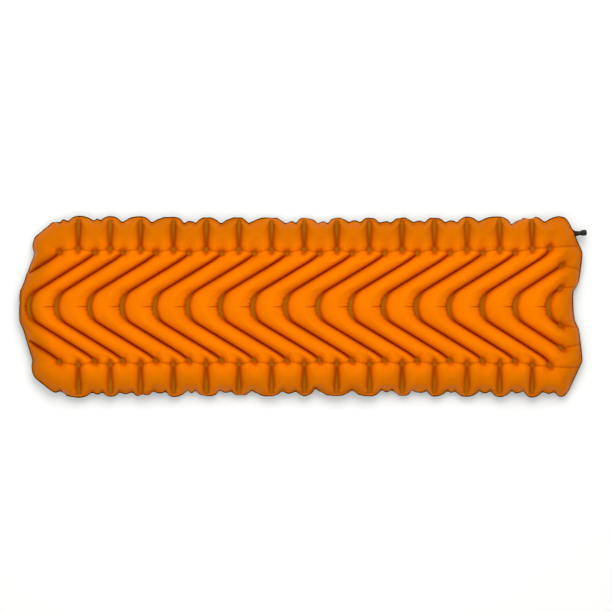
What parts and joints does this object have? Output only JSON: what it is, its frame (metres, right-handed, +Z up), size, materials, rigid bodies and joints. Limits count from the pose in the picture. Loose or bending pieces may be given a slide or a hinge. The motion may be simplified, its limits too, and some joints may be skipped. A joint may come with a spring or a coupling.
{
  "type": "inflatable sleeping pad",
  "caption": "Inflatable camping sleeping pad with chevron welded chambers, side rails divided into cells, and a twist valve at one corner.",
  "frame": {"origin": "centre of the pad's underside, on the surface that it lies on", "axes": "+X along the pad's length towards the head end, where the valve is; +Y across it towards the valve's side; +Z up"},
  "size_m": [1.8443, 0.592, 0.065],
  "materials": {
    "top_fabric": "satin coated polyester",
    "bottom_fabric": "satin coated polyester",
    "boot": "matte",
    "valve_plastic": "glossy",
    "seal_rubber": "satin"
  },
  "bodies": {
    "pad": {"top_sheet": "top_fabric", "bottom_sheet": "bottom_fabric", "valve_boot": "boot", "valve_stem": "valve_plastic", "plug_seal": "seal_rubber", "stem_seal": "seal_rubber"},
    "clip": {"cap_clip": "valve_plastic"},
    "cap": {"valve_cap": "valve_plastic"}
  },
  "joints": [
    {"name": "cap_lift", "type": "slide", "parent": "pad", "child": "clip", "axis": [0.9945, 0.1045, 0], "range_m": [0, 0.0046]},
    {"name": "cap_twist", "type": "hinge", "parent": "clip", "child": "cap", "pos_m": [0.91789, 0.24009, 0.0325], "axis": [0.9945, 0.1045, 0], "range_deg": [0, 360]}
  ],
  "couplings": [
    {"joint": "cap_twist", "follows": "cap_lift", "rad_per_m": 1365.8}
  ]
}
